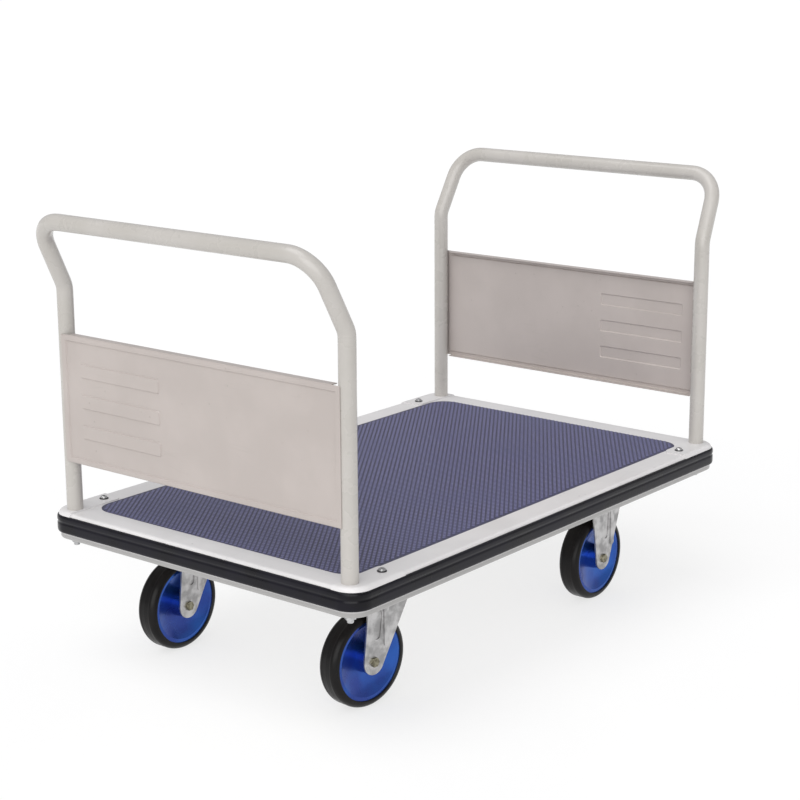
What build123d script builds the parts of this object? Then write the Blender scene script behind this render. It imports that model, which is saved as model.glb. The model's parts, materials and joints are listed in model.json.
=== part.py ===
"""Double-ended platform truck: pressed steel deck on two swivel and two rigid casters.

Frame: millimetres, +Z up, origin on the floor under the middle of the deck.
+X is the front (rigid casters), -X the rear (swivel casters), +Y the left side.
"""

import math
import os

from build123d import *

os.makedirs("parts", exist_ok=True)

# ---------------------------------------------------------------- driving dimensions
# platform
platform_length = 1240.0  # over the bumper
platform_width = 790.0  # over the bumper
deck_depth = 53.5  # rim top to the underside of the lower lip
deck_corner = 38.0  # plan radius of the skirt
deck_sheet = 2.0
rim_radius = 7.0  # rolled edge between rim and skirt
lip_radius = 3.5  # rolled edge between skirt and lower lip
lip_width = 12.0  # the lower lip turns in this far
rim_width = 55.0  # skirt face to mat edge

# mat
mat_corner = 45.0
mat_recess = 2.0  # the field under the mat is pressed down by this
mat_thickness = 3.2
mat_gap = 0.6  # round the edge of the mat

# bumper
bumper_thickness = 6.0
bumper_height = 35.0
bumper_drop = 6.0  # rim top to the top of the bumper
bumper_edge = 4.5  # rounding of the outer edges

# handles
tube_od = 31.8
tube_wall = 2.0
post_inset_end = 29.0  # post centre in from the skirt at the end
post_inset_side = 36.0  # post centre in from the skirt at the side
handle_rise = 597.5  # rim top to the top of the grip
knee_rise = 446.0  # rim top to where the post starts to lean outward
kick_out = 69.0  # the grip overhangs the post by this
corner_bend = 64.0  # centreline radius of the grip corners
knee_bend = 42.0
grip_draw_in = 9.0  # each grip corner stands in from its post by this

# panels between the posts
panel_rise = 102.5  # rim top to the bottom of the panel
panel_height = 253.0
panel_sheet = 1.5
panel_end_gap = 3.0  # panel end in from the post centre
panel_flange = 16.0
panel_bend = 3.0
panel_border = 10.5
panel_field_depth = 2.6
panel_draft = 40.0  # degrees, the slope of the pressed steps
band_count = 3
band_height = 28.0
band_pitch = 60.0
band_length = 213.0
band_end_gap = 48.0  # outer end of the bands in from the panel's end
band_rise = 2.2

# foot plates and their fixings
foot_plate = 2.5
foot_plate_length = 136.0  # from the skirt face at the end
foot_plate_inner_gap = 1.5  # kept between the plate and the mat edge
foot_tongue_radius = 15.0
deck_bolt_inset_end = 109.5  # bolt centre in from the skirt at the end
deck_bolt_inset_side = 30.5
deck_bolt_radius = 4.0
deck_bolt_head_radius = 6.8
deck_bolt_head = 4.6
deck_washer_radius = 9.0
deck_washer = 1.2
deck_nut_flats = 13.0
deck_nut = 6.5
insert_length = 42.0
stud_radius = 6.0
stud_tail = 7.0  # thread showing below the nut
stud_nut = 10.5
stud_nut_flats = 18.0
stud_washer = 2.5
stud_washer_radius = 12.0
sleeve_wall = 5.0
bracket_sheet = 3.0
bracket_margin_end = 21.0  # post centre to the bracket's inner wall
bracket_margin_side = 15.0

# under-frame
channel_depth = 67.0  # caster mounting face to the underside of the sunk field
channel_width = 150.0
channel_sheet = 3.0
channel_end_gap = 50.0  # channel end in from the skirt
beam_offset = 150.0  # lengthwise stiffeners from the centreline
beam_width = 60.0
beam_depth = 40.0
beam_sheet = 2.5

# casters
caster_side = 245.0  # wheel plane from the centreline
swivel_pivot = 380.0  # swivel axis behind the middle
swivel_trail = 42.0
rigid_plate = 354.0  # middle of the rigid plate ahead of the middle
rigid_offset = 16.0  # axle behind the middle of the rigid plate
swivel_rest = {"left": 0.0, "right": -6.5}  # degrees turned at rest
plate_length = 140.0
plate_margin = 15.0  # bolt centre to the side edge of the plate
plate_thickness = 5.0
plate_corner = 12.0
bolt_pitch_x = 105.0
bolt_leg_gap = 1.0  # bolt head to the leg beside it
caster_bolt_radius = 5.0
caster_bolt_flats = 16.0
caster_bolt_head = 6.4
caster_nut = 8.4

# wheels
wheel_radius = 92.5
tyre_width = 48.0
tyre_depth = 16.5  # tread to the seat on the wheel
tyre_shoulder = 11.0
centre_width = 36.0  # seat of the tyre
centre_lip = 2.5
hub_radius = 23.0
hub_length = 58.0
dish_depth = 9.0  # face of the web from the wheel plane, at the hub
bearing_radius = 14.0
axle_sleeve_radius = 10.0
axle_radius = 6.0
axle_flats = 17.0
axle_head = 4.5
axle_nut = 9.0

# forks
fork_sheet = 3.5
fork_hub_gap = 0.5  # between the hub and each leg
fork_toe_radius = 25.0  # the rounded lower end of a leg
recess_place = 8.0  # middle of the pressed recess ahead of the axle
recess_start = 50.0  # height over the axle of the recess's lower end
recess_low_radius = 8.0
recess_high_radius = 13.0
recess_depth = 1.6
recess_top_margin = 12.0
crown_thickness = 4.0
crown_gap = 18.0  # tyre to crown
head_height = 24.0  # crown top to the underside of the mounting plate
swivel_leg_rear = 13.0  # leg top behind the axle
swivel_leg_front = 93.0  # leg top ahead of the axle
rigid_leg_rear = 45.0
rigid_leg_front = 77.0
rib_place = 31.0  # rib ahead of the axle
rib_start = 30.0  # height over the axle of the rib's lower end
rib_radius = 6.0
rib_rise = 2.0

# swivel bearing
ball_radius = 4.5
ball_circle = 31.0
ball_count = 20
ball_gap = 0.1
race_half_width = 9.0
race_gap = 5.0  # between the two races
kingpin_radius = 8.0
kingpin_head_radius = 11.0
kingpin_nut = 10.0
kingpin_nut_flats = 24.0
kingpin_tail = 3.0

# fits
running_fit = 0.05  # radial, on axles and the kingpin
bolt_clearance = 0.4
seat_gap = 0.3  # between surfaces that move past each other

# ---------------------------------------------------------------- derived places
deck_length = platform_length - 2 * bumper_thickness
deck_width = platform_width - 2 * bumper_thickness
axle_z = wheel_radius
crown_bottom = 2 * wheel_radius + crown_gap
crown_top = crown_bottom + crown_thickness
top_plate_bottom = crown_top + head_height
mount_height = top_plate_bottom + plate_thickness
field_underside = mount_height + channel_depth
rim_underside = field_underside + mat_recess
deck_top = rim_underside + deck_sheet
deck_bottom = deck_top - deck_depth
mat_length = deck_length - 2 * rim_width
mat_width = deck_width - 2 * rim_width
bumper_top = deck_top - bumper_drop
tube_radius = tube_od / 2
post_x = deck_length / 2 - post_inset_end
post_y = deck_width / 2 - post_inset_side
bolt_x = deck_length / 2 - deck_bolt_inset_end
bolt_y = deck_width / 2 - deck_bolt_inset_side
plate_top = deck_top + foot_plate
handle_top = deck_top + handle_rise
knee_height = deck_top + knee_rise
panel_bottom = deck_top + panel_rise
bracket_bottom = deck_bottom + deck_sheet
ball_z = (top_plate_bottom + crown_top) / 2
leg_inner = hub_length / 2 + fork_hub_gap
leg_outer = leg_inner + fork_sheet
bolt_pitch_y = 2 * (leg_outer + rib_rise + bolt_leg_gap) + caster_bolt_flats
plate_width = bolt_pitch_y + 2 * plate_margin
channel_length = deck_width - 2 * channel_end_gap

SIDES = {"left": 1, "right": -1}
ENDS = {"front": 1, "rear": -1}


# ---------------------------------------------------------------- helpers
def write(name, shape):
    """Write one named piece, or a group of like pieces, to its own STEP file."""
    solids = shape.solids() if not isinstance(shape, list) else [s for p in shape for s in p.solids()]
    body = solids[0] if len(solids) == 1 else Compound(children=solids)
    body.label = name
    export_step(body, f"parts/{name}.step")


def prism(sketch, bottom, top):
    """Extrude a plan sketch between two heights."""
    return Pos(0, 0, bottom) * extrude(sketch, top - bottom)


def rod(radius, bottom, top, bore=0.0):
    """Round bar or tube along Z."""
    ring = Circle(radius) if bore == 0 else Circle(radius) - Circle(bore)
    return prism(ring, bottom, top)


def hexagon(flats, bottom, top, bore=0.0):
    """Hexagon bar along Z, measured across its flats."""
    outline = RegularPolygon(flats / 2, 6, major_radius=False)
    if bore:
        outline -= Circle(bore)
    return prism(outline, bottom, top)


def edges_at(shape, height):
    """Edges that lie flat at one height."""
    return shape.edges().filter_by_position(Axis.Z, height - 0.01, height + 0.01)


def corners(x, y):
    """The four mirrored places of one point."""
    return [(sx * x, sy * y) for sx in ENDS.values() for sy in SIDES.values()]


def on_axle(shape):
    """Turn a piece made along Z so that it lies along Y, its top toward -Y."""
    return Rot(90, 0, 0) * shape


# ---------------------------------------------------------------- deck, mat and bumper
def deck_envelope(grow=0.0):
    """Outer form of the deck, or the same form grown outward all round."""
    outline = RectangleRounded(deck_length + 2 * grow, deck_width + 2 * grow, deck_corner + grow)
    body = prism(outline, deck_bottom, deck_top + grow)
    body = fillet(edges_at(body, deck_top + grow), rim_radius + grow)
    return fillet(edges_at(body, deck_bottom), lip_radius)


def deck_pressing():
    """One pressed sheet: sunk field, raised rim, skirt and a lip turned in at the bottom."""
    inner = RectangleRounded(
        deck_length - 2 * deck_sheet, deck_width - 2 * deck_sheet, deck_corner - deck_sheet
    )
    hollow = prism(inner, deck_bottom + deck_sheet, rim_underside)
    hollow = fillet(edges_at(hollow, rim_underside), rim_radius - deck_sheet)
    hollow = fillet(edges_at(hollow, deck_bottom + deck_sheet), lip_radius - deck_sheet)
    mouth = RectangleRounded(
        deck_length - 2 * lip_width, deck_width - 2 * lip_width, deck_corner - lip_width
    )
    field = RectangleRounded(mat_length, mat_width, mat_corner)
    field_back = offset(field, deck_sheet)
    body = deck_envelope() - hollow
    body -= prism(mouth, deck_bottom - 1, deck_bottom + deck_sheet + 1)
    body += prism(field_back, field_underside, rim_underside)
    body -= prism(field, deck_top - mat_recess, deck_top + 1)
    for x, y in corners(post_x, post_y):
        body -= Pos(x, y, 0) * rod(stud_radius + bolt_clearance, field_underside, plate_top)
    for x, y in corners(bolt_x, bolt_y):
        body -= Pos(x, y, 0) * rod(deck_bolt_radius + bolt_clearance, field_underside, plate_top)
    return body


def deck_mat():
    """Sheet mat that lies in the sunk field."""
    outline = RectangleRounded(mat_length - 2 * mat_gap, mat_width - 2 * mat_gap, mat_corner - mat_gap)
    bottom = deck_top - mat_recess
    body = prism(outline, bottom, bottom + mat_thickness)
    return chamfer(edges_at(body, bottom + mat_thickness), mat_thickness / 4)


def bumper_strip():
    """Rubber strip round the skirt, rounded on its outer edges."""
    outer = RectangleRounded(platform_length, platform_width, deck_corner + bumper_thickness)
    body = prism(outer, bumper_top - bumper_height, bumper_top)
    body = fillet(body.edges().filter_by(Axis.Z, reverse=True), bumper_edge)
    return body - prism(
        RectangleRounded(deck_length, deck_width, deck_corner), deck_bottom, deck_top
    )


# ---------------------------------------------------------------- handles and panels
def handle_tube():
    """U-shaped handle at the front end: posts, outward knees, rounded grip corners."""
    grip_z = handle_top - tube_radius
    side = [
        (post_x, -post_y, plate_top),
        (post_x, -post_y, knee_height),
        (post_x + kick_out, grip_draw_in - post_y, grip_z),
    ]
    other = [(x, -y, z) for x, y, z in reversed(side)]
    path = FilletPolyline(*side, *other, radius=[knee_bend, corner_bend, corner_bend, knee_bend])
    foot = Plane(origin=side[0], z_dir=(0, 0, 1))
    outer = sweep(foot * Circle(tube_radius), path=path)
    bore = sweep(foot * Circle(tube_radius - tube_wall), path=path)
    return outer - bore


def pressed(outline, depth, first, toward):
    """Tapered block for one pressed step: from the plane at first, sinking by depth."""
    return Pos(0, 0, first) * extrude(outline, depth, dir=(0, 0, toward), taper=panel_draft)


def handle_panel():
    """Folded sheet on the outside of the front posts, with a sunk field and raised bands.

    It is made lying flat, with its outer face up, and then stood on edge.
    """
    length = 2 * (post_y - panel_end_gap)
    face = panel_sheet
    tray = Box(panel_height, length, panel_flange, align=(Align.CENTER, Align.CENTER, Align.MAX))
    tray = Pos(0, 0, face) * tray
    tray = fillet(edges_at(tray, face).filter_by(Axis.Y), panel_bend)
    core = Box(
        panel_height - 2 * panel_sheet, length + 2, panel_flange, align=(Align.CENTER, Align.CENTER, Align.MAX)
    )
    core = fillet(edges_at(core, 0).filter_by(Axis.Y), panel_bend - panel_sheet)
    tray -= core
    field = Rectangle(panel_height - 2 * panel_border, length - 2 * panel_border)
    bands = Sketch()
    for index in range(band_count):
        place = (index - (band_count - 1) / 2) * band_pitch
        middle = -(length / 2 - band_end_gap - band_length / 2)
        bands += Pos(place, middle) * RectangleRounded(band_height, band_length, band_height / 6)
    # each step is cut from the face and added to the back, one sheet lower
    sunk = face - panel_field_depth
    tray += pressed(offset(field, panel_sheet), panel_field_depth, 0, -1)
    tray -= pressed(field, panel_field_depth, face, -1)
    tray += pressed(bands, band_rise, sunk, 1)
    tray -= pressed(offset(bands, -panel_sheet / 2), band_rise, sunk - panel_sheet, 1)
    # the flanges stop short of the posts
    reach = tube_radius + panel_end_gap
    notch = Box(2 * panel_bend, 2 * reach, panel_flange, align=(Align.CENTER, Align.CENTER, Align.MAX))
    for x, y in corners(panel_height / 2, length / 2):
        tray -= Pos(x, y, 0) * notch
    stand = Pos(post_x + tube_radius, 0, panel_bottom + panel_height / 2) * Rot(0, 90, 0)
    return stand * tray


# ---------------------------------------------------------------- foot plates and fixings
def foot_plate_cap():
    """Thin cover pressed over the rim at one corner, with a tongue along the side."""
    shell = deck_envelope(foot_plate) - deck_envelope()
    shell -= prism(Rectangle(platform_length, platform_width), deck_bottom - 1, bumper_top + seat_gap)
    inner_x = deck_length / 2 - foot_plate_length
    inner_y = mat_width / 2 + foot_plate_inner_gap
    reach_x = platform_length / 2 - inner_x
    reach_y = platform_width / 2 - inner_y
    plan = Pos(inner_x + reach_x / 2, inner_y + reach_y / 2) * Rectangle(reach_x, reach_y)
    near = plan.vertices().sort_by(Axis.X)[:2].sort_by(Axis.Y)[0]
    plan = fillet(near, foot_tongue_radius)
    cap = shell & prism(plan, deck_bottom, plate_top + 1)
    cap -= Pos(post_x, post_y, 0) * rod(stud_radius + bolt_clearance, deck_top - 1, plate_top + 1)
    cap -= Pos(bolt_x, bolt_y, 0) * rod(deck_bolt_radius + bolt_clearance, deck_top - 1, plate_top + 1)
    return cap


def at_corner(shape, sx, sy):
    """Mirror a front left piece into another corner."""
    if sx < 0:
        shape = mirror(shape, about=Plane.YZ)
    if sy < 0:
        shape = mirror(shape, about=Plane.XZ)
    return shape


def deck_bolt():
    """Button-head bolt with a socket, through the foot plate and the deck."""
    seat = plate_top + deck_washer
    head = rod(deck_bolt_head_radius, seat, seat + deck_bolt_head)
    head = fillet(edges_at(head, seat + deck_bolt_head), deck_bolt_head * 0.6)
    head -= hexagon(5.0, seat + deck_bolt_head / 2, seat + deck_bolt_head + 1)
    return head + rod(deck_bolt_radius, rim_underside - deck_nut - 2, seat)


def stud():
    """Post insert with the stud that ties the post down through the deck."""
    nut_bottom = bracket_bottom - stud_washer - stud_nut
    plug = rod(tube_radius - tube_wall, plate_top, plate_top + insert_length)
    plug = chamfer(edges_at(plug, plate_top + insert_length), 1.5)
    tail = rod(stud_radius, nut_bottom - stud_tail, plate_top)
    return plug + chamfer(edges_at(tail, nut_bottom - stud_tail), 1.0)


def corner_bracket():
    """Box bracket inside the front left corner, resting on the lower lip."""
    x0 = post_x - bracket_margin_end
    y0 = post_y - bracket_margin_side
    span_x = deck_length / 2 - deck_sheet - x0
    span_y = deck_width / 2 - deck_sheet - y0
    height = rim_underside - bracket_bottom
    low = (Align.MIN, Align.MIN, Align.MIN)
    body = Pos(x0, y0, bracket_bottom) * Box(span_x, span_y, bracket_sheet, align=low)
    body += Pos(x0, y0, bracket_bottom) * Box(bracket_sheet, span_y, height, align=low)
    body += Pos(x0, y0, bracket_bottom) * Box(span_x, bracket_sheet, height, align=low)
    inner_radius = deck_corner - deck_sheet
    inside = RectangleRounded(deck_length - 2 * deck_sheet, deck_width - 2 * deck_sheet, inner_radius)
    hollow = prism(inside, deck_bottom + deck_sheet, rim_underside)
    hollow = fillet(edges_at(hollow, rim_underside), rim_radius - deck_sheet)
    hollow = fillet(edges_at(hollow, deck_bottom + deck_sheet), lip_radius - deck_sheet)
    hole = Pos(post_x, post_y, 0) * rod(stud_radius + bolt_clearance, deck_bottom, deck_top)
    return (body & hollow) - hole


# ---------------------------------------------------------------- under-frame
def open_channel(length, width, height, thickness):
    """Channel along X, open at the top, standing on Z = 0."""
    outer = Rectangle(width, height, align=(Align.CENTER, Align.MIN))
    inner = Pos(0, thickness) * Rectangle(width - 2 * thickness, height, align=(Align.CENTER, Align.MIN))
    section = Plane.YZ * (outer - inner)
    return Pos(-length / 2, 0, 0) * extrude(section, length, dir=(1, 0, 0))


def bolt_places(x, y):
    """The four bolt centres of a caster plate."""
    half_x, half_y = bolt_pitch_x / 2, bolt_pitch_y / 2
    return [(x + sx * half_x, y + sy * half_y) for sx in (1, -1) for sy in (1, -1)]


def cross_channel(x):
    """Crosswise channel that carries two casters."""
    body = open_channel(channel_length, channel_width, field_underside - mount_height, channel_sheet)
    body = Pos(x, 0, mount_height) * Rot(0, 0, 90) * body
    for side in SIDES.values():
        for bx, by in bolt_places(x, side * caster_side):
            hole = rod(caster_bolt_radius + bolt_clearance, mount_height - 1, mount_height + channel_sheet + 1)
            body -= Pos(bx, by, 0) * hole
    return body


def stiffener(side):
    """Lengthwise channel under the field, between the two cross channels."""
    rear = -swivel_pivot + channel_width / 2
    front = rigid_plate - channel_width / 2
    body = open_channel(front - rear, beam_width, beam_depth, beam_sheet)
    return Pos((front + rear) / 2, side * beam_offset, field_underside - beam_depth) * body


# ---------------------------------------------------------------- wheels
def tyre():
    """Solid rubber tyre, made about Z."""
    seat = wheel_radius - tyre_depth
    band = Pos(seat, 0) * Rectangle(tyre_depth, tyre_width, align=(Align.MIN, Align.CENTER))
    tread = band.vertices().sort_by(Axis.X)[-2:]
    band = fillet(tread, tyre_shoulder)
    lip = centre_lip + seat_gap / 3
    flank = tyre_width / 2 - centre_width / 2
    for side in (1, -1):
        align = (Align.MIN, Align.MIN if side > 0 else Align.MAX)
        band -= Pos(seat, side * centre_width / 2) * Rectangle(lip, flank, align=align)
    return revolve(Plane.XZ * band, axis=Axis.Z)


def wheel_centre():
    """Dished wheel centre with a lip either side of the tyre seat, made about Z."""
    seat = wheel_radius - tyre_depth
    half = centre_width / 2
    rim = seat - 5.0
    edge = half + centre_lip
    with BuildSketch(Plane.XZ) as section:
        with BuildLine():
            Polyline((bearing_radius, 0), (bearing_radius, hub_length / 2), (hub_radius, hub_length / 2))
            Line((hub_radius, hub_length / 2), (hub_radius + 3, dish_depth))
            middle = ((hub_radius + rim) / 2, dish_depth + (edge - dish_depth) * 0.3)
            ThreePointArc((hub_radius + 3, dish_depth), middle, (rim, edge))
            Polyline((rim, edge), (seat + centre_lip, edge), (seat + centre_lip, half), (seat, half), (seat, 0))
            Line((seat, 0), (bearing_radius, 0))
        make_face()
    upper = revolve(section.sketch, axis=Axis.Z)
    return upper + mirror(upper, about=Plane.XY)


def wheel_pieces():
    """The pieces that spin together, lying along the axle about the origin."""
    half = hub_length / 2
    bearing = rod(bearing_radius, -half, half, axle_sleeve_radius + running_fit)
    return {"tyre": on_axle(tyre()), "wheel_centre": on_axle(wheel_centre()), "wheel_bearing": on_axle(bearing)}


def axle_pieces():
    """The fixed pieces of the axle, head toward -Y."""
    head = hexagon(axle_flats, leg_outer, leg_outer + axle_head)
    head = head & rod(axle_flats * 0.56, leg_outer, leg_outer + axle_head)
    bolt = head + rod(axle_radius, -(leg_outer + axle_nut + 2), leg_outer)
    nut = hexagon(axle_flats, -(leg_outer + axle_nut), -leg_outer, axle_radius)
    sleeve = rod(axle_sleeve_radius, -leg_inner, leg_inner, axle_radius)
    return {"axle_bolt": on_axle(bolt), "axle_nut": on_axle(nut), "axle_sleeve": on_axle(sleeve)}


# ---------------------------------------------------------------- forks
def leg_layer(outline, first, last):
    """Flat layer of a leg: an outline in X and height, from first to last outward from the wheel."""
    return extrude(Plane.XZ.offset(-last) * outline, last - first)


def upright_slot(place, low, high, low_radius, high_radius):
    """Upright outline with round ends, its radius changing from the low end to the high end."""
    ends = (Pos(place, low) * Circle(low_radius), Pos(place, high) * Circle(high_radius))
    return make_hull(ends[0].edges() + ends[1].edges())


def fork_leg(rear, front, height):
    """One leg, on the +Y side of an axle at the origin, with a recess and a rib beside it."""
    top = Edge.make_line((-rear, height), (front, height))
    outline = make_hull(Circle(fork_toe_radius).edges() + [top])
    body = leg_layer(outline, leg_inner, leg_outer)
    rib = upright_slot(rib_place, rib_start, height - rib_radius, rib_radius, rib_radius)
    body += leg_layer(outline & rib, leg_inner, leg_outer + rib_rise)
    recess_end = height - recess_top_margin - recess_high_radius
    recess = upright_slot(recess_place, recess_start, recess_end, recess_low_radius, recess_high_radius)
    body -= leg_layer(recess, leg_outer - recess_depth, leg_outer)
    return body - on_axle(rod(axle_radius, -2 * leg_outer, 2 * leg_outer))


def both_legs(rear, front, height):
    """The two mirrored legs of a fork."""
    leg = fork_leg(rear, front, height)
    return [leg, mirror(leg, about=Plane.XZ)]


def swivel_fork():
    """Fork with its crown and lower race, the swivel axis at the origin of X and Y."""
    height = crown_bottom - axle_z + crown_thickness / 2
    body = Part()
    for leg in both_legs(swivel_leg_rear, swivel_leg_front, height):
        body += Pos(-swivel_trail, 0, axle_z) * leg
    length = swivel_leg_rear + swivel_leg_front
    middle = -swivel_trail + (swivel_leg_front - swivel_leg_rear) / 2
    crown = Pos(middle, 0) * RectangleRounded(length, 2 * leg_outer, plate_corner / 2)
    body += prism(crown, crown_bottom, crown_top)
    lower = ball_circle - race_half_width
    upper = ball_circle + race_half_width
    body += rod(upper, crown_top - 1, ball_z - race_gap / 2, lower)
    body -= Pos(0, 0, ball_z) * Torus(ball_circle, ball_radius + seat_gap)
    return body - rod(kingpin_radius + running_fit, crown_bottom - 1, crown_top + 1)


def rigid_fork():
    """Fork folded in one with its mounting plate, the plate's middle at the origin."""
    height = top_plate_bottom - axle_z + plate_thickness / 2
    body = Part()
    for leg in both_legs(rigid_leg_rear, rigid_leg_front, height):
        body += Pos(-rigid_offset, 0, axle_z) * leg
    return body + mounting_plate()


def mounting_plate():
    """Drilled caster plate about the origin, at its height."""
    plan = RectangleRounded(plate_length, plate_width, plate_corner)
    for x, y in bolt_places(0, 0):
        plan -= Pos(x, y) * Circle(caster_bolt_radius + bolt_clearance)
    return prism(plan, top_plate_bottom, mount_height)


def top_plate():
    """Swivel mounting plate with the upper race and a seat for the kingpin."""
    inner = ball_circle - race_half_width
    outer = ball_circle + race_half_width
    body = mounting_plate() + rod(outer, ball_z + race_gap / 2, top_plate_bottom + 1, inner)
    body -= Pos(0, 0, ball_z) * Torus(ball_circle, ball_radius + ball_gap)
    return body - rod(kingpin_head_radius, top_plate_bottom - 1, mount_height + 1)


def kingpin():
    """Pin fixed in the top plate, running in the crown."""
    tail = crown_bottom - seat_gap - kingpin_nut - kingpin_tail
    body = rod(kingpin_radius, tail, mount_height)
    return body + rod(kingpin_head_radius, top_plate_bottom, mount_height)


def swivel_balls():
    """Ring of balls between the races."""
    ring = []
    for index in range(ball_count):
        angle = 2 * math.pi * index / ball_count
        place = Pos(ball_circle * math.cos(angle), ball_circle * math.sin(angle), ball_z)
        ring.append(place * Sphere(ball_radius))
    return ring


def caster_bolt():
    """Hexagon bolt from below, through plate and channel."""
    head = hexagon(caster_bolt_flats, top_plate_bottom - caster_bolt_head, top_plate_bottom)
    return head + rod(caster_bolt_radius, top_plate_bottom, mount_height + channel_sheet + caster_nut + 1)


# ---------------------------------------------------------------- build and write
def place_all(shape, places):
    """Copies of a piece at several plan positions."""
    return [Pos(x, y, 0) * shape for x, y in places]


def write_frame():
    """Everything that is fixed to the deck."""
    write("deck_pressing", deck_pressing())
    write("deck_mat", deck_mat())
    write("bumper_strip", bumper_strip())
    for end, sign in ENDS.items():
        swing = Rot(0, 0, 90 - 90 * sign)
        write(f"handle_tube_{end}", swing * handle_tube())
        write(f"handle_panel_{end}", swing * handle_panel())
    cap = foot_plate_cap()
    for end, sx in ENDS.items():
        for side, sy in SIDES.items():
            write(f"foot_plate_{end}_{side}", at_corner(cap, sx, sy))
    bolts = corners(bolt_x, bolt_y)
    posts = corners(post_x, post_y)
    washer = rod(deck_washer_radius, plate_top, plate_top + deck_washer, deck_bolt_radius)
    nut = hexagon(deck_nut_flats, rim_underside - deck_nut, rim_underside, deck_bolt_radius)
    write("deck_bolts", place_all(deck_bolt(), bolts))
    write("deck_washers", place_all(washer, bolts))
    write("deck_nuts", place_all(nut, bolts))
    write("post_studs", place_all(stud(), posts))
    sleeve_top = bracket_bottom + bracket_sheet
    sleeve = rod(stud_radius + sleeve_wall, sleeve_top, rim_underside, stud_radius + bolt_clearance)
    write("post_sleeves", place_all(sleeve, posts))
    washer_bottom = bracket_bottom - stud_washer
    washer = rod(stud_washer_radius, washer_bottom, bracket_bottom, stud_radius)
    nut = hexagon(stud_nut_flats, washer_bottom - stud_nut, washer_bottom, stud_radius)
    write("post_washers", place_all(washer, posts))
    write("post_nuts", place_all(nut, posts))
    bracket = corner_bracket()
    write("corner_brackets", [at_corner(bracket, sx, sy) for sx, sy in corners(1, 1)])
    write("cross_channel_front", cross_channel(rigid_plate))
    write("cross_channel_rear", cross_channel(-swivel_pivot))
    write("stiffeners", [stiffener(sign) for sign in SIDES.values()])


def write_caster_fixings():
    """Bolts and weld nuts of all four casters."""
    places = []
    for x in (rigid_plate, -swivel_pivot):
        for sign in SIDES.values():
            places += bolt_places(x, sign * caster_side)
    low = mount_height + channel_sheet
    nut = hexagon(caster_bolt_flats, low, low + caster_nut, caster_bolt_radius)
    write("caster_bolts", place_all(caster_bolt(), places))
    write("caster_nuts", place_all(nut, places))


def write_casters():
    """Two swivel casters at the rear and two rigid casters at the front."""
    rolling = wheel_pieces() | axle_pieces()
    nut_top = crown_bottom - seat_gap
    nut = hexagon(kingpin_nut_flats, nut_top - kingpin_nut, nut_top, kingpin_radius)
    for side, sign in SIDES.items():
        rear = Pos(-swivel_pivot, sign * caster_side, 0)
        front = Pos(rigid_plate, sign * caster_side, 0)
        swing = rear * Rot(0, 0, swivel_rest[side])
        write(f"top_plate_{side}", rear * top_plate())
        write(f"kingpin_{side}", rear * kingpin())
        write(f"kingpin_nut_{side}", rear * nut)
        write(f"swivel_balls_{side}", [rear * ball for ball in swivel_balls()])
        write(f"swivel_fork_{side}", swing * swivel_fork())
        write(f"rigid_fork_{side}", front * rigid_fork())
        for name, shape in rolling.items():
            write(f"{name}_rear_{side}", swing * Pos(-swivel_trail, 0, axle_z) * shape)
            write(f"{name}_front_{side}", front * Pos(-rigid_offset, 0, axle_z) * shape)


write_frame()
write_caster_fixings()
write_casters()
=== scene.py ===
# %% [markdown]
# # Flatbed platform truck
# A pressed steel deck on four casters, with a bent tube handle and a sheet panel at each end.
# The measured model comes in first and is never moved: this file gives each of its pieces a
# finish, and builds anew only the pieces whose surface carries more than the measured solid does.
# Everything is in metres, with the origin on the floor under the middle of the deck.

# %% Load the measured pieces
import json
import math

import bpy
import numpy as np
from mathutils import Matrix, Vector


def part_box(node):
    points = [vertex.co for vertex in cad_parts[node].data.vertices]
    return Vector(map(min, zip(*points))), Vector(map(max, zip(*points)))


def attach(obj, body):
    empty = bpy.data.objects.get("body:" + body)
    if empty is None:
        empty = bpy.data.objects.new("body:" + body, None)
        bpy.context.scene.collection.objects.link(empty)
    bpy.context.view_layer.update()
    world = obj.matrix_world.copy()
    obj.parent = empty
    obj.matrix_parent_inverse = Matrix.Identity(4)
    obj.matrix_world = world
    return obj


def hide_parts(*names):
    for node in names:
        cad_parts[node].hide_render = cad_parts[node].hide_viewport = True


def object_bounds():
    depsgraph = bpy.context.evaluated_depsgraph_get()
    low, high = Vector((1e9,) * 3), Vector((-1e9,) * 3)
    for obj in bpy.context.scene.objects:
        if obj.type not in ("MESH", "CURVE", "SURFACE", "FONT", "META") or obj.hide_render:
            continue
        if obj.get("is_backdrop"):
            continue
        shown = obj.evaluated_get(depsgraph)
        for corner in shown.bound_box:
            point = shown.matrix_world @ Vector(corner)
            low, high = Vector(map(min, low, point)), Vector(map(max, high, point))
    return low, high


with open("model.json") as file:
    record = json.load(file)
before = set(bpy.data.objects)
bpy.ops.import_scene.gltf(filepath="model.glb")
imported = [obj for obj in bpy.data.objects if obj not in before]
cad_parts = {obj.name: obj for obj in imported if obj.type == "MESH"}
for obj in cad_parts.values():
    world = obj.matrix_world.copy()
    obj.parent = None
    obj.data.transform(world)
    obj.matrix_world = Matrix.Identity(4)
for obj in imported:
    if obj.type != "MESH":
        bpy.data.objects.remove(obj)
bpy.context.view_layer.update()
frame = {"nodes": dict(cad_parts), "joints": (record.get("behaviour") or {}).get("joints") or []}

MM = 0.001
nodes = frame["nodes"]

# %% [markdown]
# ## Small tools
# Paint makers and screens give colours as sRGB hex values, but light adds up in linear values,
# so one function turns the first into the second. Every finish is a graph of shader nodes, and
# one more function adds a node with its settings and links, which keeps each graph readable.


# %% Colour and node helpers
def linear(code):
    """sRGB hex to linear RGBA: v / 12.92 below 0.04045, else ((v + 0.055) / 1.055) ** 2.4."""
    value = np.array([int(code[i : i + 2], 16) for i in (1, 3, 5)]) / 255
    low, high = value / 12.92, ((value + 0.055) / 1.055) ** 2.4
    return (*np.where(value <= 0.04045, low, high).tolist(), 1.0)


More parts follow.
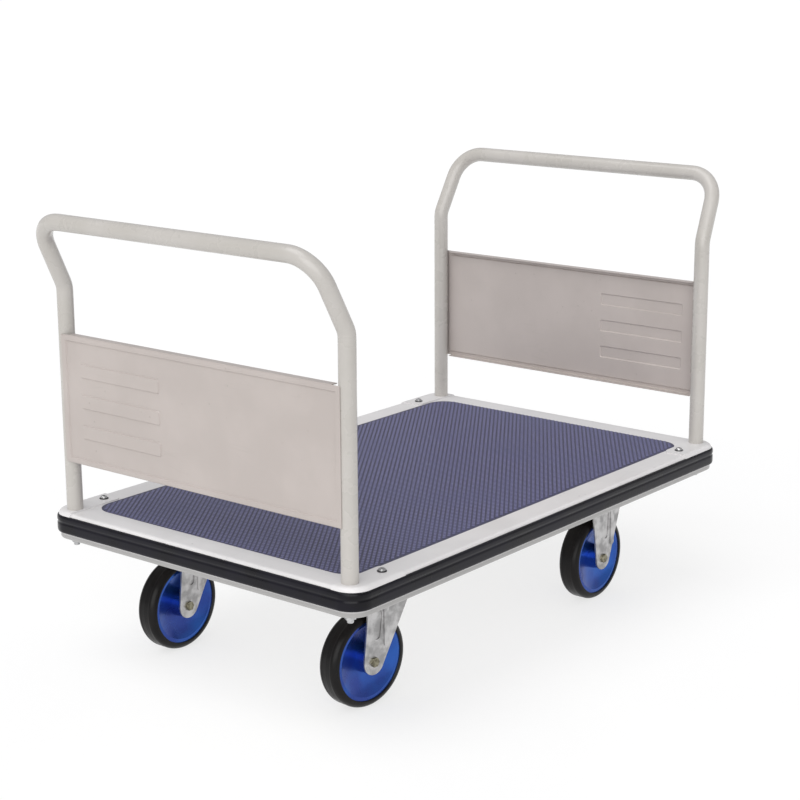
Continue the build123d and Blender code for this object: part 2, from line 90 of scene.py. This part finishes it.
def add(tree, kind, settings=None, links=None):
    """Add a shader node. Settings are attributes or sockets, links are sockets fed by others."""
    node = tree.nodes.new("ShaderNode" + kind)
    for key, value in (settings or {}).items():
        if isinstance(key, str) and hasattr(node, key):
            setattr(node, key, value)
        else:
            node.inputs[key].default_value = value
    for key, source in (links or {}).items():
        tree.links.new(source, node.inputs[key])
    return node


def start_finish(name, settings):
    """A new material: its tree, its surface shader and the piece's own coordinates."""
    material = bpy.data.materials.new(name)
    material.use_nodes = True
    tree = material.node_tree
    tree.nodes.clear()
    surface = add(tree, "BsdfPrincipled", settings)
    add(tree, "OutputMaterial", {}, {"Surface": surface.outputs[0]})
    return material, tree, surface, add(tree, "TexCoord").outputs["Object"]


def per_metre(size_mm):
    """Texture scale whose features are about that many millimetres apart."""
    return 1000 / size_mm


# %% [markdown]
# ## Wear patterns
# Three patterns make a factory finish look used without hiding it. Clouds shift the tone by a
# few percent, as paint and zinc never come out even. Scratches are thin level lines of a
# stretched noise, kept only in patches. Specks are the rare chips and grains of dirt. Each one
# gives a mask from 0 to 1, so that every finish can use it on its colour and its roughness.


# %% Patterns
def clouds(tree, place, size_mm, low=0.35, high=0.65):
    """Soft mask: noise of that feature size, stretched to 0..1 between low and high."""
    settings = {"Scale": per_metre(size_mm), "Detail": 3.0, "Roughness": 0.55}
    noise = add(tree, "TexNoise", settings, {"Vector": place})
    span = {"From Min": low, "From Max": high, "interpolation_type": "SMOOTHSTEP"}
    return add(tree, "MapRange", span, {"Value": noise.outputs[0]}).outputs[0]


def scratches(tree, place, gap_mm, stretch, turn=(0.0, 0.0, 0.0), width=0.012):
    """Thin lines: where a noise stretched along one axis lies within width of its middle."""
    mapped = add(tree, "Mapping", {"Rotation": turn, "Scale": stretch}, {"Vector": place})
    settings = {"Scale": per_metre(gap_mm), "Detail": 1.0}
    line = add(tree, "TexNoise", settings, {"Vector": mapped.outputs[0]})
    level = add(tree, "Math", {"operation": "SUBTRACT", 1: 0.5}, {0: line.outputs[0]})
    depth = add(tree, "Math", {"operation": "ABSOLUTE"}, {0: level.outputs[0]})
    span = {"From Min": 0.0, "From Max": width, "To Min": 1.0, "To Max": 0.0}
    thin = add(tree, "MapRange", span, {"Value": depth.outputs[0]})
    patch_mm = gap_mm * 5
    patch = clouds(tree, place, patch_mm, 0.52, 0.66)
    return add(tree, "Math", {"operation": "MULTIPLY"}, {0: thin.outputs[0], 1: patch}).outputs[0]


def specks(tree, place, cell_mm, size):
    """Rare dots: the cores of random cells, kept where a second noise is high."""
    settings = {"Scale": per_metre(cell_mm), "Randomness": 1.0}
    cells = add(tree, "TexVoronoi", settings, {"Vector": place})
    span = {"From Min": size * 0.6, "From Max": size, "To Min": 1.0, "To Max": 0.0}
    dots = add(tree, "MapRange", span, {"Value": cells.outputs["Distance"]})
    patch_mm = cell_mm * 4
    keep = clouds(tree, place, patch_mm, 0.5, 0.6)
    return add(tree, "Math", {"operation": "MULTIPLY"}, {0: dots.outputs[0], 1: keep}).outputs[0]


def blend_colour(tree, first, second, mask, share=1.0):
    """Colour that runs from first to second with mask times share. Both may be hex or sockets."""
    part = add(tree, "Math", {"operation": "MULTIPLY", 1: share}, {0: mask})
    mix = add(tree, "Mix", {"data_type": "RGBA"}, {0: part.outputs[0]})
    colour_a, colour_b, result = 6, 7, 2
    for slot, colour in ((colour_a, first), (colour_b, second)):
        if isinstance(colour, str):
            mix.inputs[slot].default_value = linear(colour)
        else:
            tree.links.new(colour, mix.inputs[slot])
    return mix.outputs[result]


def ranged(tree, mask, low, high):
    """A number that goes from low to high as the mask goes from 0 to 1."""
    return add(tree, "MapRange", {"To Min": low, "To Max": high}, {"Value": mask}).outputs[0]


def bumped(tree, surface, heights):
    """Chain of bumps on a surface: each is a height mask and its real depth in millimetres."""
    normal = None
    for mask, depth_mm in heights:
        links = {"Height": mask} | ({"Normal": normal} if normal else {})
        normal = add(tree, "Bump", {"Strength": 1.0, "Distance": depth_mm * MM}, links).outputs[0]
    tree.links.new(normal, surface.inputs["Normal"])


# %% [markdown]
# ## Baked enamel
# Handles, panels, deck and under-frame are steel sprayed with enamel and baked. Sprayed paint
# dries with a faint orange-peel skin, about 3 mm from crest to crest; that is too fine to show
# at this distance, so it is drawn twice as coarse. The handles are glossy and a little yellow,
# the panels are a flatter, pinker batch, and the deck is the lightest. Its lower lip, below the
# bumper's foot, is painted a darker grey: painted shade from the bumper's overhang.


# %% Enamel finishes
def enamel(name, paint, shade, grime, gloss, peel_mm, peel_depth, scratch, painted_shade_below=None):
    """Sprayed enamel: tone clouds, orange peel, scratches to grey primer, specks, painted shade low
    down.
    """
    tone_mm, smear_mm, speck_cell_mm, speck_size = 130, 45, 26, 0.09
    scratch_share, speck_share, painted_shade_share = 0.14, 0.5, 0.8
    scratch_depth, painted_shade_rise, gloss_spread = -0.02, 4 * MM, 0.12
    settings = {"IOR": 1.5, "Coat Weight": 0.35, "Coat Roughness": 0.12, "Coat IOR": 1.5}
    material, tree, surface, place = start_finish(name, settings)
    tone = clouds(tree, place, tone_mm)
    colour = blend_colour(tree, paint, shade, tone)
    lines = scratches(tree, place, **scratch)
    colour = blend_colour(tree, colour, grime, lines, scratch_share)
    dots = specks(tree, place, speck_cell_mm, speck_size)
    colour = blend_colour(tree, colour, grime, dots, speck_share)
    # Below the bumper's foot the colour runs to a darker grey within a few millimetres: painted
    # shade of the bumper's overhang on the lower lip.
    if painted_shade_below:
        height = add(tree, "SeparateXYZ", {}, {0: place}).outputs["Z"]
        span = {"From Min": painted_shade_below, "From Max": painted_shade_below - painted_shade_rise}
        low = add(tree, "MapRange", span, {"Value": height}).outputs[0]
        colour = blend_colour(tree, colour, "#8E8D8B", low, painted_shade_share)
    tree.links.new(colour, surface.inputs["Base Color"])
    smear = clouds(tree, place, smear_mm)
    tree.links.new(ranged(tree, smear, gloss, gloss + gloss_spread), surface.inputs["Roughness"])
    bumped(tree, surface, [(clouds(tree, place, peel_mm), peel_depth), (lines, scratch_depth)])
    return material


bumper_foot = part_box("bumper_strip")[0].z
along_tube = {"gap_mm": 22, "stretch": (1.0, 1.0, 0.12)}
along_sheet = {"gap_mm": 30, "stretch": (1.0, 0.15, 1.0)}
along_deck = {"gap_mm": 26, "stretch": (0.12, 1.0, 1.0), "turn": (0.0, 0.0, 0.5)}
tube_enamel = enamel(
    "gloss_baked_enamel_tube", "#B8B4AF", "#B3AFA9", "#96948A",
    gloss=0.24, peel_mm=6, peel_depth=0.01, scratch=along_tube,
)
panel_enamel = enamel(
    "satin_baked_enamel_panel", "#B5ACA7", "#B0A7A2", "#989089",
    gloss=0.42, peel_mm=7, peel_depth=0.015, scratch=along_sheet,
)
deck_enamel = enamel(
    "baked_enamel_deck", "#DCDADA", "#D5D3D3", "#9C9A98",
    gloss=0.28, peel_mm=6, peel_depth=0.01, scratch=along_deck, painted_shade_below=bumper_foot,
)
frame_enamel = enamel(
    "baked_enamel_underframe", "#CFCDC9", "#C2C0BC", "#8A8884",
    gloss=0.40, peel_mm=8, peel_depth=0.04, scratch=along_deck,
)
print("enamels:", [m.name for m in (tube_enamel, panel_enamel, deck_enamel, frame_enamel)])

# %% [markdown]
# ## Studded vinyl, rubber and moulded plastic
# The mat is calendered vinyl. Feet and boxes polish the tops of its studs, and dust stays
# between them, so its gloss follows the height. Its colour follows the height too, as painted
# light: a painted shade of dark slate down between the studs, and a painted highlight, paler and
# bluer, on their tops. The bumper is smooth extruded rubber, almost black with a violet cast.
# Tyres are solid rubber out of a mould, a warm black. The wheel centres are injection-moulded
# nylon filled with metal flake, so what they mirror comes back deep blue instead of white.


# %% Vinyl, rubber and plastic finishes
def studded_vinyl(name, low_z, top_z):
    """Roughness and colour follow the height; the colour is painted shade low, painted highlight on
    top.
    """
    settings = {"IOR": 1.5, "Coat Weight": 0.15, "Coat Roughness": 0.3}
    material, tree, surface, place = start_finish(name, settings)
    height = add(tree, "SeparateXYZ", {}, {0: place}).outputs["Z"]
    span = {"From Min": low_z, "From Max": top_z}
    rise = add(tree, "MapRange", span, {"Value": height}).outputs[0]
    # Painted light: dark slate between the studs is painted shade, the paler, bluer stud tops a
    # painted highlight.
    colour = blend_colour(tree, "#34344E", "#62628A", rise)
    colour = blend_colour(tree, colour, "#4A4C70", clouds(tree, place, size_mm=160), 0.35)
    lint = specks(tree, place, cell_mm=30, size=0.12)
    colour = blend_colour(tree, colour, "#8A8A9C", lint, 0.25)
    tree.links.new(colour, surface.inputs["Base Color"])
    dusty, polished, grain_depth = 0.6, 0.38, 0.03
    tree.links.new(ranged(tree, rise, dusty, polished), surface.inputs["Roughness"])
    bumped(tree, surface, [(clouds(tree, place, size_mm=3), grain_depth)])
    return material


def rubber(name, body, bloom, gloss, coat, grain_mm, grain_depth):
    """Moulded rubber: a dark body, pale bloom in clouds, a fine grain and a few scuffs."""
    settings = {"IOR": 1.5, "Specular IOR Level": 0.2, "Coat Weight": coat, "Coat Roughness": 0.1}
    material, tree, surface, place = start_finish(name, settings)
    mist_share, scuff_share, gloss_spread, scuff_depth = 0.35, 0.6, 0.14, -0.02
    mist = clouds(tree, place, size_mm=60)
    scuff = scratches(tree, place, gap_mm=18, stretch=(0.3, 0.3, 1.0))
    colour = blend_colour(tree, body, bloom, mist, mist_share)
    colour = blend_colour(tree, colour, bloom, scuff, scuff_share)
    tree.links.new(colour, surface.inputs["Base Color"])
    tree.links.new(ranged(tree, mist, gloss, gloss + gloss_spread), surface.inputs["Roughness"])
    bumped(tree, surface, [(clouds(tree, place, grain_mm), grain_depth), (scuff, scuff_depth)])
    return material


def moulded_plastic(name, body, deep):
    """Nylon with metal flake: the reflection is blue itself; flow clouds, hairline scuffs."""
    settings = {"IOR": 1.5, "Metallic": 0.8, "Coat Weight": 0.1, "Coat Roughness": 0.06}
    material, tree, surface, place = start_finish(name, settings)
    flow_share, hair_share, flow_depth, hair_depth = 0.6, 0.15, 0.03, -0.01
    flow = clouds(tree, place, size_mm=110)
    hair = scratches(tree, place, gap_mm=12, stretch=(1.0, 1.0, 0.2))
    colour = blend_colour(tree, body, deep, flow, flow_share)
    colour = blend_colour(tree, colour, "#6F86B4", hair, hair_share)
    tree.links.new(colour, surface.inputs["Base Color"])
    glossy, dull = 0.18, 0.28
    tree.links.new(ranged(tree, flow, glossy, dull), surface.inputs["Roughness"])
    bumped(tree, surface, [(flow, flow_depth), (hair, hair_depth)])
    return material


mat_low, mat_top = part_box("deck_mat")
stud_height = 1.2 * MM
mat_vinyl = studded_vinyl("calendered_vinyl_mat", mat_top.z - stud_height, mat_top.z)
bumper_rubber = rubber(
    "extruded_rubber_bumper", "#07060C", "#171524",
    gloss=0.24, coat=0.06, grain_mm=5, grain_depth=0.01,
)
tyre_rubber = rubber(
    "moulded_rubber_tyre", "#070505", "#15100F",
    gloss=0.32, coat=0.05, grain_mm=4, grain_depth=0.02,
)
wheel_nylon = moulded_plastic("moulded_nylon_blue", "#2A5CB0", "#2C2474")
print("mat in mm: %.0f x %.0f" % tuple((mat_top - mat_low)[i] / MM for i in (0, 1)))

# %% [markdown]
# ## Zinc plate and turned steel
# Forks and plates are pressed from sheet and barrel-plated with zinc, which leaves a cloudy
# grey with soft reflections. Bolts and nuts carry the thicker yellowish passivated
# coat, and pins and bearings are turned or ground steel, with tool marks round their axis.
# A metal's colour is that of its reflection, so the base colours here are light.


# %% Metal finishes
def plated(name, metal, shade, gloss, cloud_mm, grain, depth):
    """Plated steel: cloudy tone and roughness, and drawing marks from a stretched noise."""
    material, tree, surface, place = start_finish(name, {"Metallic": 1.0})
    mark_share, gloss_spread, mark_depth = 0.7, 0.14, -0.015
    bloom = clouds(tree, place, cloud_mm)
    marks = scratches(tree, place, **grain)
    colour = blend_colour(tree, metal, shade, bloom)
    colour = blend_colour(tree, colour, shade, marks, mark_share)
    tree.links.new(colour, surface.inputs["Base Color"])
    tree.links.new(ranged(tree, bloom, gloss, gloss + gloss_spread), surface.inputs["Roughness"])
    pitting = clouds(tree, place, cloud_mm / 4)
    bumped(tree, surface, [(pitting, depth), (marks, mark_depth)])
    return material


down_leg = {"gap_mm": 14, "stretch": (1.0, 1.0, 0.15)}
fine_marks = {"gap_mm": 6, "stretch": (1.0, 1.0, 1.0)}
round_axis = {"gap_mm": 5, "stretch": (0.3, 0.3, 3.0)}
fork_zinc = plated("barrel_zinc_plate", "#C4C3C3", "#A09F9F", 0.36, 24, down_leg, 0.05)
bolt_zinc = plated("yellow_passivated_zinc", "#9A9682", "#6A6655", 0.30, 8, fine_marks, 0.03)
deck_bolt_zinc = plated("bright_zinc_plate", "#C9C9C9", "#A9A9AA", 0.22, 8, fine_marks, 0.02)
dark_washer = plated("blackened_spring_steel", "#3A3A3E", "#26262A", 0.35, 6, fine_marks, 0.02)
turned_steel = plated("turned_steel", "#B4B4B6", "#96969A", 0.25, 10, round_axis, 0.02)
ground_steel = plated("ground_bearing_steel", "#CACACC", "#B4B4B8", 0.12, 12, fine_marks, 0.01)
print("metals:", [m.name for m in (fork_zinc, bolt_zinc, dark_washer, turned_steel, ground_steel)])

# %% [markdown]
# ## Finishes on the measured pieces
# Each measured piece keeps its mesh. Its name says what it is, so a list from the start of a
# name to a finish dresses all of them, and the loop stops if a piece is left bare.

# %% Dress the measured pieces
FINISHES = {
    "handle_tube": tube_enamel,
    "handle_panel": panel_enamel,
    "deck_pressing": deck_enamel,
    "foot_plate": deck_enamel,
    "cross_channel": frame_enamel,
    "stiffeners": frame_enamel,
    "corner_brackets": frame_enamel,
    "post_sleeves": frame_enamel,
    "deck_mat": mat_vinyl,
    "bumper_strip": bumper_rubber,
    "tyre": tyre_rubber,
    "wheel_centre": wheel_nylon,
    "wheel_bearing": ground_steel,
    "swivel_balls": ground_steel,
    "swivel_fork": fork_zinc,
    "rigid_fork": fork_zinc,
    "top_plate": fork_zinc,
    "kingpin": turned_steel,
    "axle_sleeve": turned_steel,
    "axle_bolt": bolt_zinc,
    "axle_nut": bolt_zinc,
    "caster_bolts": bolt_zinc,
    "caster_nuts": bolt_zinc,
    "deck_bolts": deck_bolt_zinc,
    "deck_nuts": deck_bolt_zinc,
    "deck_washers": dark_washer,
    "post_studs": deck_bolt_zinc,
    "post_nuts": deck_bolt_zinc,
    "post_washers": dark_washer,
}
for name, piece in nodes.items():
    finish = next(material for key, material in FINISHES.items() if name.startswith(key))
    piece.data.materials.clear()
    piece.data.materials.append(finish)
print("dressed", len(nodes), "pieces with", len(set(FINISHES.values())), "finishes")

# %% [markdown]
# ## Turning arrays into pieces
# The new pieces are surfaces worked out as whole numpy arrays. Most are grids of points: a
# function of two numbers, one along the piece and one round it. One function makes the faces of
# such a grid, closed in either direction, and one puts points and faces into a mesh that rides
# on its body and stands for its measured solid, which it hides.


# %% Grid faces and piece maker
def grid_faces(rows, columns, close_rows=False, close_columns=False):
    """Quads of a rows x columns grid of points, each one the cell after point (i, j)."""
    i = np.arange(rows if close_rows else rows - 1)[:, None]
    j = np.arange(columns if close_columns else columns - 1)[None, :]
    up, across = (i + 1) % rows, (j + 1) % columns
    corners = [i * columns + j, i * columns + across, up * columns + across, up * columns + j]
    quads = np.stack([np.broadcast_to(c, (len(i), j.shape[1])) for c in corners], -1)
    return quads.reshape(-1, 4)


def add_mesh_object(name, points, faces, material, smooth):
    """Object in the scene from points in metres, lists of corners and one material."""
    mesh = bpy.data.meshes.new(name)
    mesh.from_pydata(points.reshape(-1, 3).tolist(), [], faces)
    mesh.polygons.foreach_set("use_smooth", np.full(len(mesh.polygons), smooth))
    mesh.materials.append(material)
    piece = bpy.data.objects.new(name, mesh)
    bpy.context.scene.collection.objects.link(piece)
    return piece


def make_piece(name, points, faces, material, body, stands_for, smooth=True):
    """Piece that rides on a body and stands for measured pieces, which it hides."""
    piece = add_mesh_object(name, points, faces, material, smooth)
    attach(piece, body)
    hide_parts(*stands_for)
    size = np.ptp(points.reshape(-1, 3), axis=0)
    print(name, "faces", len(faces), "size in mm", (size / MM).round(1).tolist())


FRAME_BODY = "truck_frame"

# %% [markdown]
# ## The studded mat
# The sheet is rolled with small lozenge studs in rows 8.7 mm apart, and the rows cross the deck
# at 35 degrees both ways. A bump map would leave the mat flat at its edge and in the sun, and
# there are some nine thousand studs, so each is real but spare: a lozenge base, a smaller
# lozenge top and four sides between. All of them are one array: the stud's eight corners added
# to every place of the lattice that lies far enough inside the rounded outline.


# %% Mat sheet and studs
def rounded_outline(half_x, half_y, radius, per_corner, per_side):
    """Loop of points and outward normals: straight sides joined by quarter circles."""
    turn = np.linspace(0, np.pi / 2, per_corner)
    middle = np.array([[half_x - radius, half_y - radius]])
    points, normals = [], []
    for quarter, sign in enumerate(((1, 1), (-1, 1), (-1, -1), (1, -1))):
        angle = turn + quarter * np.pi / 2
        normal = np.stack([np.cos(angle), np.sin(angle)], 1)
        corner = middle * sign + radius * normal
        points.append(corner)
        normals.append(normal)
        following = middle * ((-1, 1), (-1, -1), (1, -1), (1, 1))[quarter]
        end = following[0] + radius * normal[-1]
        step = np.linspace(0, 1, per_side + 2)[1:-1, None]
        points.append(corner[-1] + step * (end - corner[-1]))
        normals.append(np.repeat(normal[-1:], per_side, 0))
    return np.concatenate(points), np.concatenate(normals)


def inside_rounded(points, half_x, half_y, radius):
    """True where a point lies inside a rounded rectangle: its corner distance is under radius."""
    over = np.maximum(np.abs(points) - (half_x - radius, half_y - radius), 0)
    return (np.hypot(over[:, 0], over[:, 1]) <= radius) & (over.max(1) <= radius)


row_gap, row_angle = 8.7 * MM, math.radians(35)
stride = row_gap / math.sin(2 * row_angle)
half_x, half_y = mat_top.x, mat_top.y
mat_corner, sheet_top = 44.4 * MM, mat_top.z - stud_height
step_x, step_y = stride * math.cos(row_angle), stride * math.sin(row_angle)
spare_rows = 60
count = int(half_x / step_x) + spare_rows
i, j = np.meshgrid(np.arange(-count, count), np.arange(-count, count))
places = np.stack([(i + j) * step_x, (i - j) * step_y], -1).reshape(-1, 2)
edge_gap = 4.5 * MM
field_x, field_y, field_corner = half_x - edge_gap, half_y - edge_gap, mat_corner - edge_gap
places = places[inside_rounded(places, field_x, field_y, field_corner)]

base_share, top_share, sunk = 0.80, 0.46, 0.05 * MM
lozenge = np.array([[1, 0], [0, 1], [-1, 0], [0, -1]]) * (step_x, step_y)
base = np.column_stack([lozenge * base_share, np.full(4, sheet_top - sunk)])
top = np.column_stack([lozenge * top_share, np.full(4, mat_top.z)])
stud = np.concatenate([base, top])
stud_faces = np.array([[4, 5, 6, 7], [0, 1, 5, 4], [1, 2, 6, 5], [2, 3, 7, 6], [3, 0, 4, 7]])
shift = np.column_stack([places, np.zeros(len(places))])
stud_points = (shift[:, None] + stud[None]).reshape(-1, 3)
first_corner = np.arange(len(places))[:, None, None] * len(stud)
stud_quads = (first_corner + stud_faces[None]).reshape(-1, 4)

edge_bevel = 0.5 * MM
outline, outward = rounded_outline(half_x, half_y, mat_corner, per_corner=14, per_side=30)
levels = [(mat_low.z, 0.0), (sheet_top - edge_bevel, 0.0), (sheet_top, -edge_bevel)]
rings = [np.column_stack([outline + outward * grow, np.full(len(outline), z)]) for z, grow in levels]
sheet_points = np.concatenate(rings)
ring_faces = grid_faces(len(levels), len(outline), close_columns=True)
first, last = len(stud_points), len(stud_points) + 2 * len(outline)
quads = np.concatenate([stud_quads, ring_faces + first]).tolist()
quads.append(list(range(last, last + len(outline))))
quads.append(list(range(first + len(outline) - 1, first - 1, -1)))
points = np.concatenate([stud_points, sheet_points])
make_piece("studded_mat", points, quads, mat_vinyl, FRAME_BODY, ["deck_mat"], smooth=False)
print("studs:", len(places), "stride in mm: %.2f" % (stride / MM))

# %% [markdown]
# ## The bumper
# An extruded rubber strip is one section carried round the deck. Seen from the end it is a
# rounded bar with a shallow channel along it. The section's reach outward is a formula
# of the height s from -1 to 1: thickness times (1 - |s|^8)^0.4, less a channel shaped like a
# bell, 1.4 mm deep and a little above the middle. Carried along the outline's outward normals
# it turns the corners without a seam.

# %% Bumper
bumper_low, bumper_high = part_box("bumper_strip")
_, deck_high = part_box("deck_pressing")
thickness = bumper_high.x - deck_high.x
squareness, fullness = 8, 0.4
channel_depth, channel_middle, channel_spread = 1.4 * MM, 0.22, 0.15
s = -np.cos(np.linspace(0, np.pi, 45))
reach = thickness * (1 - np.abs(s) ** squareness) ** fullness
reach = reach - channel_depth * np.exp(-(((s - channel_middle) / channel_spread) ** 2))
heights = (bumper_low.z + bumper_high.z) / 2 + s * (bumper_high.z - bumper_low.z) / 2
back = 0.02 * MM
reach = np.concatenate([[back], np.minimum(reach, thickness), [back]])
heights = np.concatenate([[bumper_low.z], heights, [bumper_high.z]])
deck_corner = 38 * MM
loop, outward = rounded_outline(deck_high.x, deck_high.y, deck_corner, per_corner=26, per_side=40)
plan = loop[:, None] + outward[:, None] * reach[None, :, None]
points = np.concatenate([plan, np.broadcast_to(heights[None, :, None], plan.shape[:2] + (1,))], -1)
faces = grid_faces(len(loop), len(reach), True, True).tolist()
make_piece(
    "bumper_extrusion", points, faces, bumper_rubber, FRAME_BODY, ["bumper_strip"]
)

# %% [markdown]
# ## The tyres
# A tyre is a section turned about the axle. The mould leaves a flat sidewall with a raised bead
# ring, a shallow ring groove outside it, round shoulders and a fine parting line round the
# middle of the tread. Each wheel's centre and axis come from its own spin joint, because one
# caster stands turned a few degrees.


# %% Tyres
def turned(section, centre, axis, count):
    """Points of a (radius, along) section carried round an axis: r cos t, r sin t, along."""
    axis = np.array(axis) / np.linalg.norm(axis)
    side = np.cross(axis, (0.0, 0.0, 1.0))
    side /= np.linalg.norm(side)
    up = np.cross(side, axis)
    t = np.arange(count) / count * 2 * np.pi
    spoke = np.cos(t)[:, None] * side + np.sin(t)[:, None] * up
    return np.array(centre) + spoke[:, None] * section[None, :, :1] + axis * section[None, :, 1:]


def tyre_section(inner, outer, half_width, shoulder):
    """Closed section: bore, sidewall with its rings, shoulder arc and crowned tread, mirrored."""
    bead_rise, groove_depth = 0.6 * MM, 0.5 * MM
    crown_drop, parting_rise, parting_half = 0.3 * MM, 0.25 * MM, 0.4 * MM
    wall = np.linspace(inner, outer - shoulder, 30)

    def bell(out_from_bore, spread):
        return np.exp(-(((wall - inner - out_from_bore) / spread) ** 2))

    bead, groove = bell(3.4 * MM, 0.9 * MM), bell(6.4 * MM, 0.7 * MM)
    flank = half_width - bead_rise + bead_rise * bead - groove_depth * groove
    t = np.linspace(0, np.pi / 2, 16)[1:]
    arc_r = outer - shoulder + shoulder * np.sin(t)
    arc_y = half_width - bead_rise - shoulder + shoulder * np.cos(t)
    tread = np.linspace(arc_y[-1], 0, 10)[1:]
    crown = outer - crown_drop * (tread / arc_y[-1]) ** 2 - parting_rise * (tread > parting_half)
    arc_r[-1] = crown[0]
    half = np.concatenate([np.column_stack([wall, flank]), np.column_stack([arc_r, arc_y])])
    half = np.concatenate([half, np.column_stack([crown, tread])])
    return np.concatenate([half, (half * (1, -1))[-2::-1]])


spins = {joint["child"]: joint for joint in frame["joints"] if joint["name"].startswith("spin")}
seat_radius, shoulder_radius = 78.7 * MM, 13.5 * MM
low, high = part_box("tyre_front_left")
tyre_radius, tyre_half = high.z / 2, (high.y - low.y) / 2
section = tyre_section(seat_radius, tyre_radius, tyre_half, shoulder_radius)
spokes = 144
for body, joint in spins.items():
    corner = body.replace("wheel_", "")
    points = turned(section, joint["pos_m"], joint["axis"], spokes)
    faces = grid_faces(*points.shape[:2], True, True).tolist()
    name, measured = "tyre_moulding_" + corner, "tyre_" + corner
    make_piece(name, points, faces, tyre_rubber, body, [measured])

# %% [markdown]
# ## The floor
# The truck stands on a plain floor of white acrylic lit from below, as product studios use it.
# It glows to white, so little more than a soft shadow is seen of it, and it lights the
# under-frame. The floor is stage, not part of the truck.

# %% Floor
floor_reach, floor_points_a_side = 60.0, 9
grid = np.linspace(-floor_reach, floor_reach, floor_points_a_side)
floor_x, floor_y = np.meshgrid(grid, grid, indexing="ij")
points = np.stack([floor_x, floor_y, np.zeros_like(floor_x)], -1)
facing_up = grid_faces(floor_points_a_side, floor_points_a_side)[:, ::-1]
settings = {"Roughness": 0.9, "Specular IOR Level": 0.1, "Emission Strength": 0.70}
acrylic, tree, surface, place = start_finish("lit_acrylic_floor", settings)
tone = blend_colour(tree, "#959594", "#929292", clouds(tree, place, size_mm=900))
tree.links.new(tone, surface.inputs["Base Color"])
surface.inputs["Emission Color"].default_value = linear("#FFFFFF")
floor = add_mesh_object("floor", points, facing_up.tolist(), acrylic, smooth=False)
floor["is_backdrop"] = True
print("floor in metres:", 2 * floor_reach)

# %% [markdown]
# ## Lamps and surroundings
# The walls all round are pale and even. A lamp overhead gives the deck its light rim and the
# shadow its place, and a stronger one, low behind the camera, lights the panels and the posts.
# Both are as wide as a large soft box seen from near by, so no shadow has a hard edge. Colours
# are shown as they are, without a film curve.

# %% Lamps
world = bpy.data.worlds.new("white_studio")
bpy.context.scene.world = world
world.use_nodes = True
walls = world.node_tree.nodes["Background"].inputs
walls["Color"].default_value, walls["Strength"].default_value = linear("#FBFBFD"), 0.55


def soft_sun(name, toward, spread, power):
    """Distant lamp shining from a direction, as wide in the sky as its spread in degrees."""
    lamp = bpy.data.lights.new(name, "SUN")
    lamp.angle, lamp.energy = math.radians(spread), power
    holder = bpy.data.objects.new(name, lamp)
    bpy.context.scene.collection.objects.link(holder)
    x, y, z = np.array(toward) / np.linalg.norm(toward)
    holder.rotation_euler = (math.acos(z), 0, math.atan2(y, x) + math.pi / 2)
    print(name, "spread in degrees", spread, "power", power)


soft_sun("overhead_lamp", (-0.35, 0.15, 1.0), spread=50, power=1.2)
soft_sun("front_lamp", (-0.8, -0.5, 0.3), spread=60, power=1.6)
bpy.context.scene.view_settings.view_transform = "Standard"

# %% [markdown]
# ## The camera
# It looks down a little at the rear right corner from about 4 m, with a long lens, which keeps
# the two ends of the deck nearly parallel. Its three axes are worked out from yaw, pitch and
# roll: forward first, then right and up by cross products, and they are the columns of its
# matrix, as a camera looks along its own -Z.

# %% Camera
camera_place = (-2.98243, -2.40973, 1.42174)
yaw, pitch, roll = math.radians(39.02), math.radians(13.99), math.radians(-0.33)
forward = np.array([math.cos(yaw), math.sin(yaw), -math.tan(pitch)]) * math.cos(pitch)
level = np.array([math.sin(yaw), -math.cos(yaw), 0.0])
rise = np.cross(level, forward)
right = level * math.cos(roll) + rise * math.sin(roll)
upward = np.cross(right, forward)
lens = bpy.data.cameras.new("camera")
lens.sensor_width, lens.lens = 36.0, 86.484
camera = bpy.data.objects.new("camera", lens)
bpy.context.scene.collection.objects.link(camera)
pose = np.eye(4)
pose[:3, 0], pose[:3, 1], pose[:3, 2], pose[:3, 3] = right, upward, -forward, camera_place
camera.matrix_world = Matrix(pose.tolist())
bpy.context.scene.camera = camera
print("camera lens in mm:", round(lens.lens, 1))

# %% [markdown]
# ## Sizes
# The finished model's box, over every shown piece but the floor, is printed in millimetres.

# %% Print the model's box
low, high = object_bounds()
print("sizes in mm:", [[round(v / MM, 1) for v in corner] for corner in (low, high)])
